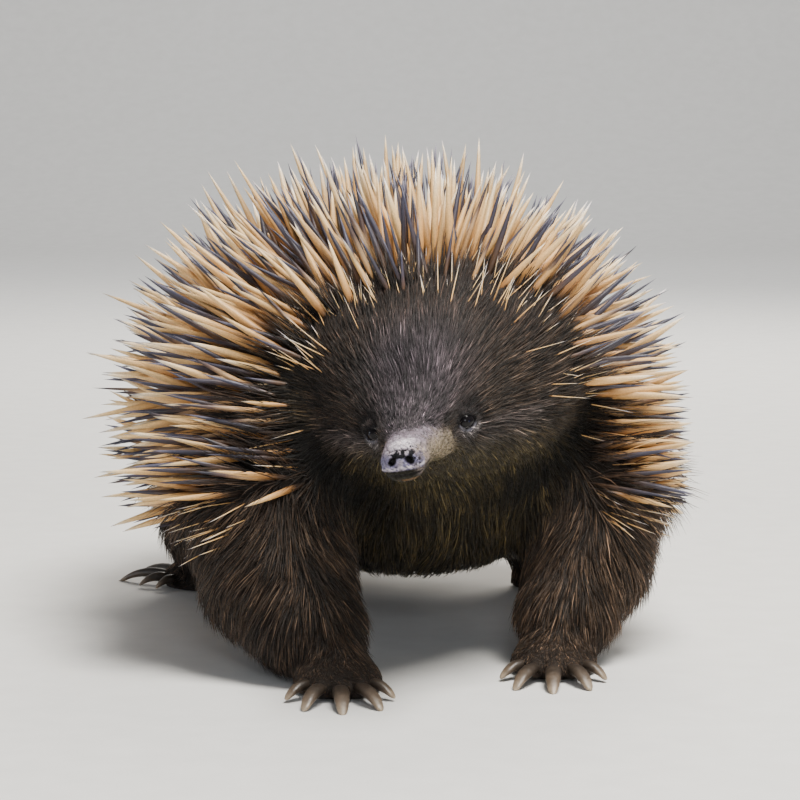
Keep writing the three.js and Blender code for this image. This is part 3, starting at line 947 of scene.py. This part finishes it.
def growHair():
    roots = scatter(surface["fields"]["density"])
    count = len(roots["at"])
    p, normal, flow = roots["at"], roots["normal"], roots["flow"]
    length = roots["length"] * rng.uniform(0.7, 1.25, count)
    side = np.cross(normal, flow)
    calm = 1 - hair["faceCalm"] * roots["face"]  # the face's hair lies straighter and flatter
    turnBy = rng.normal(size=count) * hair["wander"] * calm
    lie = unit(flow + side * turnBy[:, None])
    standing = hair["standing"] * roots["spiny"]
    lift = (hair["lift"] * rng.uniform(0.6, 1.4, count) + standing)[:, None]
    lay = (hair["lay"] * rng.uniform(0.3, 1.8, count) + 0.8 * standing)[:, None]
    reach = length[:, None]
    first = p + reach * 0.42 * unit(lie + normal * lift)
    last = p + reach * unit(lie + normal * lay)
    last[:, 2] -= hair["droop"] * length * roots["leg"]
    last[:, 2] = np.maximum(last[:, 2], 0.6)

    # tufts: each hair's end is drawn towards the end of the nearest guide hair
    guides = rng.choice(count, int(count / hair["tuft"]), replace=False)
    tree = kdtree.KDTree(len(guides))
    for i, guide in enumerate(guides):
        tree.insert(Vector(p[guide]), i)
    tree.balance()
    nearest = np.array([guides[tree.find(Vector(point))[1]] for point in p])
    pull = (hair["gather"] * calm * rng.uniform(0.4, 1.2, count))[:, None]
    shift = (last[nearest] - p[nearest]) * (length / np.maximum(length[nearest], 1e-6))[:, None] + p[nearest]
    last += (shift - last) * pull

    under = 0.5 - skinDistance(last)  # no hair ends inside the skin
    last += normal * np.maximum(under, 0)[:, None] * 1.1
    start = (p - normal * hair["buried"])[:, None]
    size = follow(hair["radius"], length) * rng.uniform(0.8, 1.2, count)
    shades = hair["tone"]
    tuftTone = rng.normal(size=count) * shades["tuft"]
    tone = rng.normal(size=count) * shades["each"] + tuftTone[nearest] + shades["drift"] * waves(p, 16, 40)
    pick = rng.random(count)
    pale = pick < hair["paleShare"] + hair["palerLegs"] * roots["leg"]
    dark = pick > 1 - hair["darkShare"]
    tone += np.where(pale, shades["pale"], np.where(dark, shades["dark"], shades["rest"]))
    values = {"tone": np.exp(tone), "tint": roots["tint"]}
    order = np.lexsort((p[:, 0], np.round(toBody(p)[:, 1] / 45)))
    made = []
    for name, strand in hair["strands"].items():
        own = order[(length[order] >= strand["from"]) & (length[order] < strand["to"])]
        t = np.array(strand["steps"])[None, :, None]
        lines = start[own] * (1 - t) ** 2 + 2 * first[own, None] * t * (1 - t) + last[own, None] * t * t
        radii = size[own, None] * np.array(strand["girth"])[None]
        ownValues = {key: value[own] for key, value in values.items()}
        made += tubeMesh(name, lines, radii, 3, keep(roots, own), ownValues, strand["most"])
    return made


hairPieces = growHair()


# Eyes: a round ball with a clear bulge in front

eyes = {"radius": 4.5, "bulge": 0.35, "bulgeWide": 0.5, "rings": 40, "sides": 64}


def makeEye(side):
    middle, look, sideways, upward = eyeFrame(side)
    angle = np.linspace(0, math.pi, eyes["rings"] + 1)[1:-1]
    around = 2 * math.pi * np.arange(eyes["sides"]) / eyes["sides"]
    r = eyes["radius"] + eyes["bulge"] * np.exp(-(angle / eyes["bulgeWide"]) ** 2)
    out, flat = r * np.cos(angle), r * np.sin(angle)
    rim = np.cos(around)[:, None] * sideways + np.sin(around)[:, None] * upward
    points = out[:, None, None] * look + flat[:, None, None] * rim[None]
    points = points.reshape(-1, 3)
    front = look * (eyes["radius"] + eyes["bulge"])
    points = np.vstack([points, front, -look * eyes["radius"]]) + middle
    faces, n = [], eyes["sides"]
    for ring in range(eyes["rings"] - 2):
        for i in range(n):
            a, b = ring * n + i, ring * n + (i + 1) % n
            faces.append((a, a + n, b + n, b))
    last = (eyes["rings"] - 2) * n
    faces += [(len(points) - 2, i, (i + 1) % n) for i in range(n)]
    faces += [(last + (i + 1) % n, last + i, len(points) - 1) for i in range(n)]
    obj = meshObject("eyeball_left" if side > 0 else "eyeball_right", fromHead(points), faces)
    offAxis = np.concatenate([np.repeat(flat, n), [0, 0]])
    offAxis[np.concatenate([np.repeat(out, n), [1, -1]]) < 0] = 9
    setValues(obj, "offAxis", offAxis)
    unwrap(obj)
    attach(obj, "root")
    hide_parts("eye_left" if side > 0 else "eye_right")
    return obj


eyeballs = [makeEye(side) for side in (-1, 1)]


# Claws: flat spades in front, longer curved hooks behind, worn at their ends

claws = {"height": 4.6, "bend": 0.16, "rings": 26, "sides": 20, "growth": 0.02, "growthGap": 1.3}


def makeClaw(name, foot, index):
    degrees, reach, long, wide = foot["toes"][index]
    bend = long * claws["bend"]
    table = np.array([
        (4.0, 0.4, wide * 0.36, 2.2, 2.2), (-long * 0.3, 0.8, wide * 0.42, 2.4, 2.0),
        (-long * 0.68, -bend * 0.25, wide * 0.36, 1.8, 1.5), (-long, -bend - 1.1, wide * 0.18, 0.8, 0.7),
    ])
    where = np.linspace(0, 3, claws["rings"])
    y, z, half, tall, deep = catmull(table, where).T
    ends = np.sqrt(np.clip(1 - (1 - np.minimum(where, 3 - where) / 0.35).clip(0) ** 2, 0.01, 1))
    angle = 2 * math.pi * np.arange(claws["sides"]) / claws["sides"]
    c, s = np.cos(angle), np.sin(angle)
    uneven = 2 * waves(y[:, None] * (1, 0, 0), 6, index)
    ridge = 1 + claws["growth"] * np.sin(2 * math.pi * y / claws["growthGap"] + uneven)
    x = (half * ends * ridge)[:, None] * np.sign(c) * np.abs(c) ** 0.85
    height = np.where(s > 0, tall[:, None], deep[:, None]) * (ends * ridge)[:, None] * s
    points = np.stack([x, np.broadcast_to(y[:, None], x.shape), z[:, None] + height], 2).reshape(-1, 3)
    points = points + (0, -reach, claws["height"])
    points = points @ turn("z", degrees * foot["mirror"]).T
    at, rotation = footPlace(foot)
    points = points @ rotation.T + at
    points[:, 2] = np.maximum(points[:, 2], 0.05)
    n = claws["sides"]
    faces = [(r * n + i, r * n + (i + 1) % n, (r + 1) * n + (i + 1) % n, (r + 1) * n + i)
             for r in range(claws["rings"] - 1) for i in range(n)]
    faces.append(tuple(range(n))[::-1])
    faces.append(tuple(range((claws["rings"] - 1) * n, claws["rings"] * n)))
    obj = meshObject(name, points, faces)
    setValues(obj, "along", np.repeat(np.linspace(0, 1, claws["rings"]), n))
    bm = bmesh.new()
    bm.from_mesh(obj.data)
    bmesh.ops.recalc_face_normals(bm, faces=bm.faces)
    bm.to_mesh(obj.data)
    bm.free()
    unwrap(obj)
    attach(obj, "root")
    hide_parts("%s_claw_%d" % (name.replace("nail_", "").rsplit("_", 1)[0], index + 1))
    return obj


clawPieces = [makeClaw("nail_%s_%d" % (name, i + 1), foot, i)
              for name, foot in feet.items() for i in range(5)]


# Skin: its colours, then which CAD nodes it stands for

def beakHues(q):  # the bare skin, from its ground colour to its fine marks, with painted highlights and painted shade
    w = behindTip(q)
    x, z = q[:, 0], q[:, 2]
    up = z / np.maximum(np.hypot(x, z), 1e-6)
    mottle, broad = waves(q, 1.5, 21), waves(q, 5, 22)
    # the top of the beak is paler: partly its own colour, partly a painted highlight
    paleAndLitTop = 0.75 * smooth(w, 20, 9) * smooth(up, 0.35, 0.95)
    # a painted highlight on the bridge of the beak
    paintedGleam = smooth(np.hypot((x - 1.0) / 5.5, (w - 8.5) / 5.0), 1.1, 0.3) * smooth(up, 0.3, 0.8)
    flank = smooth(x, 5.5, 9.0) * smooth(w, 8, 14) * smooth(z, 6, 1)
    folds = smooth(x, 4.0, 6.5) * smooth(w, 15, 8) * smooth(np.abs(z), 7, 4)
    hue = layered(
        hues["lilac"], ("pale", paleAndLitTop + 0.25 * broad + 0.20 * mottle),
        ("paintedGleam", paintedGleam * (0.75 + 0.35 * mottle)),
        # downward faces of the beak turn olive: partly their own colour, partly a painted green reflection from
        # below
        ("olive", smooth(up + 0.2 * broad, 0.70, -0.20) * smooth(w, 9, 22)),
        ("cream", flank * (0.45 + 0.35 * mottle)), ("cream", folds * (0.7 + 0.5 * mottle)))
    # painted shade along the carved cracks
    hue = hue * (1 - 0.80 * cracks(q))[:, None]
    # the front of the tip: its pad, paler skin under the nostrils, and paler skin between them that is partly a
    # painted highlight
    front = smooth(w, 7.5, 4)
    # the pad is bluish lilac: partly its own colour, partly a painted sheen
    padAndSheen = front * smooth(z, -3.2, -2.4) * smooth(z, 4.6, 2.2) * (0.8 + 0.3 * broad)
    paleAndLitSeptum = smooth(np.abs(x - 0.3 * z), 1.1, 0.4) * smooth(np.abs(z - 0.2), 2.2, 1.2)
    band = smooth(np.abs(z + 1.6 - 0.05 * x + 0.5 * mottle), 0.75, 0.2) * (0.8 + 0.4 * broad)
    hue = layered(hue, ("padAndSheen", padAndSheen), ("pale", front * (0.5 * paleAndLitSeptum + band)))
    hue = hue * (1 - 0.45 * front * smooth(mottle, 0.3, 0.9))[:, None]
    # the underside of the beak is very dark olive: partly its own colour, partly painted shade
    lipAndShade = smooth(z, -2.0, -2.8) * smooth(w, 30, 10) * (1 - 0.5 * folds)
    rim = smooth(np.abs(z + 6.7), 0.6, 0.2) * smooth(w, 8, 4) * smooth(x + 1.5 * mottle, -3.0, 0.5)
    jaw = np.abs(z - beak["mouthLow"] - 0.05 * w)
    mouth = 0.8 * smooth(jaw, 0.6, 0.15) * smooth(w, beak["mouthReach"] + 2, 10)
    # the nostrils are painted near-black: painted shade inside the holes
    hole = smooth(nostrilness(q)[0], 0.1, 0.6)
    return layered(hue, ("lipAndShade", lipAndShade), ("scab", scabs(q)), ("orange", 0.5 * rim), ("darkRimsAndShade", mouth),
                   ("nostrilShade", hole))


def skinValues(fields):  # what the skin's material reads at each point
    p, bare = fields["at"], fields["bare"]
    q = toHead(p)
    eye, dryPatches = eyeRing(p), scabs(q)
    low = smooth(eyeHigh(q) + 0.5 * waves(q, 2.5, 26), -0.6, -2.0)
    hue = layered(
        # painted shade in the eye sockets
        blendHues(fields["tint"] * coat["skinShade"], beakHues(q), bare), ("darkRimsAndShade", smooth(eye, 8, 5.5)),
        # pale lower lids, partly their own colour and partly painted light; then the dark lid rims
        ("paleLidAndLight", smooth(eye, 6.2, 4.2) * low * 0.9), ("darkRimsAndShade", smooth(eye, 3.6, 2.9)),
        ("sole", smooth(p[:, 2], 2.4, 1.0)))
    wet = smooth(behindTip(q), 12, 6) * smooth(q[:, 2], -2.2, -1.5)
    wet *= (p[:, 2] > head["lowest"]) * (1 - dryPatches)
    dry = np.maximum(dryPatches, 0.6 * smooth(q[:, 2], -2.0, -2.8)) * bare
    return {"hue": hue, "bare": bare, "wet": wet, "dry": dry}


for key, values in skinValues(surface["fields"]).items():
    setValues(skin, key, values)
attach(skin, "root")
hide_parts("trunk", "head", "beak", "tail", *(n + end for n in legs for end in ("_leg", "_foot")))


# Materials. A Shade is a socket in a material's nodes that can be added, multiplied and mixed.

class Shade:
    def __init__(self, tree, socket=None):
        self.tree = tree
        self.socket = socket

    def node(self, kind, settings=None, inputs=None, output=0):
        made = self.tree.nodes.new("ShaderNode" + kind)
        for name, value in (settings or {}).items():
            if name == "stops":
                self.setStops(made.color_ramp, value)
            else:
                setattr(made, name, value)
        for name, value in (inputs or {}).items():
            if isinstance(value, Shade):
                self.tree.links.new(value.socket, made.inputs[name])
            else:
                made.inputs[name].default_value = value
        return Shade(self.tree, made.outputs[output])

    @staticmethod
    def setStops(ramp, stops):
        while len(ramp.elements) < len(stops):
            ramp.elements.new(0.5)
        for element, (place, *value) in zip(ramp.elements, stops):
            element.position = place
            element.color = (*value, 1)

    def maths(self, operation, a, b):
        return self.node("Math", {"operation": operation}, {0: a, 1: b})

    def __add__(self, other):
        return self.maths("ADD", self, other)

    def __radd__(self, other):
        return self.maths("ADD", other, self)

    def __sub__(self, other):
        return self.maths("SUBTRACT", self, other)

    def __rsub__(self, other):
        return self.maths("SUBTRACT", other, self)

    def __mul__(self, other):
        return self.maths("MULTIPLY", self, other)

    def __rmul__(self, other):
        return self.maths("MULTIPLY", other, self)

    def value(self, name):
        return self.node("Attribute", {"attribute_name": name}, output="Fac")

    def hue(self, name):
        return self.node("Attribute", {"attribute_name": name}, output="Color")

    def place(self):
        return self.node("TexCoord", output="Object")

    def noise(self, scale, detail=2.0):
        return self.node("TexNoise", inputs={"Vector": self.place(), "Scale": scale, "Detail": detail})

    def ramp(self, *stops):
        return self.node("ValToRGB", {"stops": stops}, {0: self})

    def span(self, low, high, toLow=0.0, toHigh=1.0):
        return self.node("MapRange", inputs={0: self, 1: low, 2: high, 3: toLow, 4: toHigh})

    def mix(self, factor, other):  # colours
        return self.node("Mix", {"data_type": "RGBA"}, {0: factor, 6: self, 7: other}, output=2)

    def scaled(self, amount):  # a colour made lighter or darker by a value
        return self.node("VectorMath", {"operation": "SCALE"}, {0: self, "Scale": amount})

    def bump(self, distance, strength):
        inputs = {"Height": self, "Distance": distance, "Strength": strength}
        return self.node("Bump", inputs=inputs, output="Normal")


def material(name, paint):
    made = bpy.data.materials.new(name)
    made.use_nodes = True
    made.node_tree.nodes.clear()
    surfaceShade = paint(Shade(made.node_tree))
    output = made.node_tree.nodes.new("ShaderNodeOutputMaterial")
    made.node_tree.links.new(surfaceShade.socket, output.inputs["Surface"])
    return made


def paintSpines(start):
    along, kind, tone, tan = (start.value(name) for name in ("along", "kind", "tone", "tan"))
    place = along + (tan - 0.5) * 0.20
    golden = place.ramp(
        (0.0, 0.014, 0.008, 0.005), (0.19, 0.045, 0.020, 0.008), (0.32, 0.36, 0.165, 0.048),
        (0.50, 0.62, 0.345, 0.12), (0.74, 0.72, 0.48, 0.22), (0.92, 0.82, 0.68, 0.49),
        (1.0, 0.70, 0.64, 0.64))
    # The half-dark and dark spines' bluish grey towards their tips is a painted sheen on their own dark colour.
    halfDark = place.ramp(
        (0.0, 0.014, 0.009, 0.007), (0.18, 0.10, 0.045, 0.018), (0.36, 0.50, 0.28, 0.11),
        (0.50, 0.46, 0.29, 0.15), (0.64, 0.10, 0.06, 0.05), (0.80, 0.016, 0.016, 0.028),
        (1.0, 0.05, 0.045, 0.065))
    dark = place.ramp(
        (0.0, 0.012, 0.008, 0.006), (0.20, 0.05, 0.026, 0.013), (0.36, 0.09, 0.046, 0.024),
        (0.54, 0.046, 0.036, 0.048), (0.80, 0.042, 0.042, 0.072), (1.0, 0.22, 0.20, 0.26))
    body = golden.mix(kind.span(0.25, 0.5), halfDark).mix(kind.span(0.5, 1.0), dark)
    streaks = start.noise(1400, 2)
    body = body.scaled(tone.span(0, 1, 0.82, 1.27) * streaks.span(0.3, 0.7, 0.86, 1.1))
    rough = start.noise(900).span(0.3, 0.7, 0.38, 0.56)
    return start.node("BsdfPrincipled", inputs={
        "Base Color": body, "Roughness": rough, "IOR": 1.5, "Specular IOR Level": 0.45,
        "Normal": streaks.bump(0.00012, 0.5)})


def paintHair(start):
    along, tone, tint = start.value("along"), start.value("tone"), start.hue("tint")
    body = tint.scaled(tone * along.span(0, 0.9, 0.32, 1.75))
    return start.node("BsdfPrincipled", inputs={
        "Base Color": body, "Roughness": start.noise(700).span(0.3, 0.7, 0.48, 0.66),
        "Specular IOR Level": 0.28, "Sheen Weight": 0.05, "Sheen Roughness": 0.4})


def paintSkin(start):
    hue, bareMask, wet, dry = start.hue("hue"), start.value("bare"), start.value("wet"), start.value("dry")
    coarse, fine = start.noise(700, 4), start.noise(2600, 3)
    body = hue.scaled(coarse.span(0.3, 0.7, 0.72, 1.25) * fine.span(0.3, 0.7, 0.84, 1.14))
    cells = start.node("TexVoronoi", {"feature": "DISTANCE_TO_EDGE"},
                       {"Vector": start.place(), "Scale": 1500})
    height = cells.span(0, 0.12) * 0.6 + coarse * 0.7 + fine * 0.4
    rough = 0.78 - bareMask * 0.24 - wet * 0.20 + dry * 0.32 + coarse.span(0.3, 0.7, -0.08, 0.08)
    return start.node("BsdfPrincipled", inputs={
        "Base Color": body, "Roughness": rough, "Specular IOR Level": 0.32,
        "Coat Weight": wet * coarse.span(0.35, 0.65, 0.15, 0.75), "Coat Roughness": 0.22,
        "Subsurface Weight": 0.05, "Subsurface Radius": (0.6, 0.3, 0.2), "Subsurface Scale": 0.0010,
        "Normal": height.bump(0.00030, 0.8)})


def paintEye(start):
    off = start.value("offAxis")
    fibres = start.noise(1800, 3)
    iris = (off + fibres * 0.25).ramp(
        (0.0, 0.001, 0.001, 0.003), (0.14, 0.001, 0.001, 0.003), (0.17, 0.006, 0.009, 0.045),
        (0.29, 0.007, 0.010, 0.050), (0.34, 0.004, 0.004, 0.008), (1.0, 0.006, 0.005, 0.006))
    return start.node("BsdfPrincipled", inputs={
        "Base Color": iris, "Roughness": fibres.span(0.3, 0.7, 0.03, 0.06), "IOR": 1.34,
        "Specular IOR Level": 0.32})


def paintClaw(start):
    along = start.value("along")
    lines = start.noise(500, 3)
    horn = (along + (lines - 0.5) * 0.12).ramp(
        (0.0, 0.018, 0.013, 0.010), (0.45, 0.040, 0.029, 0.021), (0.75, 0.10, 0.072, 0.050),
        (0.95, 0.26, 0.20, 0.14), (1.0, 0.36, 0.29, 0.21))
    body = horn.scaled(start.noise(260).span(0.3, 0.7, 0.75, 1.25))
    return start.node("BsdfPrincipled", inputs={
        "Base Color": body, "Roughness": lines.span(0.3, 0.7, 0.30, 0.5), "Specular IOR Level": 0.5,
        "Normal": (lines + start.noise(2200) * 0.5).bump(0.0002, 0.5)})


def paintFloor(start):
    grain = start.noise(60, 4)
    body = grain.ramp((0.3, 0.72, 0.71, 0.69), (0.7, 0.76, 0.75, 0.73))
    return start.node("BsdfPrincipled", inputs={
        "Base Color": body, "Roughness": 0.85, "Specular IOR Level": 0.2})


def give(objects, made):
    for obj in objects:
        obj.data.materials.append(made)


give(spinePieces, material("spine_horn", paintSpines))
give(hairPieces, material("echidna_hair", paintHair))
give([skin], material("echidna_skin", paintSkin))
give(eyeballs, material("eye_dark", paintEye))
give(clawPieces, material("claw_horn", paintClaw))
print("materials made")


# Floor, light and camera

studio = {
    "floorWide": 9.0, "sweepAt": 2.7, "sweepRadius": 1.2, "sweepTop": 3.5,
    "world": (0.84, 0.85, 0.87, 1), "worldStrength": 0.29,
}
lights = {
    "key": {"at": (0.34, -0.38, 1.35), "size": 0.7, "watts": 42, "warm": (1.0, 0.97, 0.91)},
    "fill": {"at": (0.12, -1.6, 0.62), "size": 0.3, "watts": 4.0, "warm": (0.92, 0.96, 1.0)},
    "rim": {"at": (0.3, 1.3, 1.1), "size": 0.9, "watts": 22, "warm": (1.0, 0.95, 0.86)},
    "catch": {"at": (1.45, -1.55, 0.26), "size": 0.26, "watts": 3.0, "warm": (1.0, 1.0, 1.0)},
    "side": {"at": (-2.1, -0.45, 0.32), "size": 0.5, "watts": 7.0, "warm": (0.80, 0.88, 1.0)},
    "backdrop": {"at": (0.0, 1.3, 1.9), "size": 1.6, "watts": 46, "warm": (1.0, 1.0, 1.0),
                 "to": (0, 3.7, 0.7)},
}
view = {
    "distance": 1150.0, "above": 7.0, "focal": 2919.0, "eyesAt": (420.5, 430.0), "picture": 800,
    "film": 36.0,
}


def makeFloor():
    half, bend, radius = studio["floorWide"] / 2, studio["sweepAt"], studio["sweepRadius"]
    profile = [(-half, 0.0), (bend, 0.0)]
    sweep = np.linspace(0, math.pi / 2, 24)[1:]
    profile += [(bend + radius * math.sin(a), radius * (1 - math.cos(a))) for a in sweep]
    profile.append((bend + radius, studio["sweepTop"]))
    points = np.array([(x, y, z) for y, z in profile for x in (-half, half)])
    faces = [(2 * i, 2 * i + 1, 2 * i + 3, 2 * i + 2) for i in range(len(profile) - 1)]
    obj = meshObject("floor", points / mm, faces)
    give([obj], material("floor_paper", paintFloor))


def makeLight(name, settings):
    target = Vector(settings.get("to", (0, 0, 0.1)))
    lamp = bpy.data.lights.new(name, "AREA")
    lamp.shape = "DISK"
    lamp.size = settings["size"]
    lamp.energy = settings["watts"]
    lamp.color = settings["warm"]
    obj = bpy.data.objects.new(name, lamp)
    obj.location = settings["at"]
    obj.rotation_euler = (target - Vector(settings["at"])).to_track_quat("-Z", "Y").to_euler()
    scene.collection.objects.link(obj)


def makeCamera():
    tilt = math.radians(view["above"])
    aim = Vector(headAt * mm)
    away = Vector((0, -math.cos(tilt), math.sin(tilt))) * view["distance"] * mm
    data = bpy.data.cameras.new("camera")
    data.sensor_width = view["film"]
    data.lens = view["focal"] / view["picture"] * view["film"]
    data.shift_x = (view["picture"] / 2 - view["eyesAt"][0]) / view["picture"]
    data.shift_y = (view["eyesAt"][1] - view["picture"] / 2) / view["picture"]
    data.clip_end = 50
    obj = bpy.data.objects.new("camera", data)
    obj.location = aim + away
    obj.rotation_euler = (-away).to_track_quat("-Z", "Y").to_euler()
    scene.collection.objects.link(obj)
    scene.camera = obj


makeFloor()
for lightName, light in lights.items():
    makeLight(lightName, light)
world = bpy.data.worlds.new("studio")
world.use_nodes = True
backdrop = world.node_tree.nodes["Background"]
backdrop.inputs["Color"].default_value = studio["world"]
backdrop.inputs["Strength"].default_value = studio["worldStrength"]
scene.world = world
makeCamera()
print("studio ready")
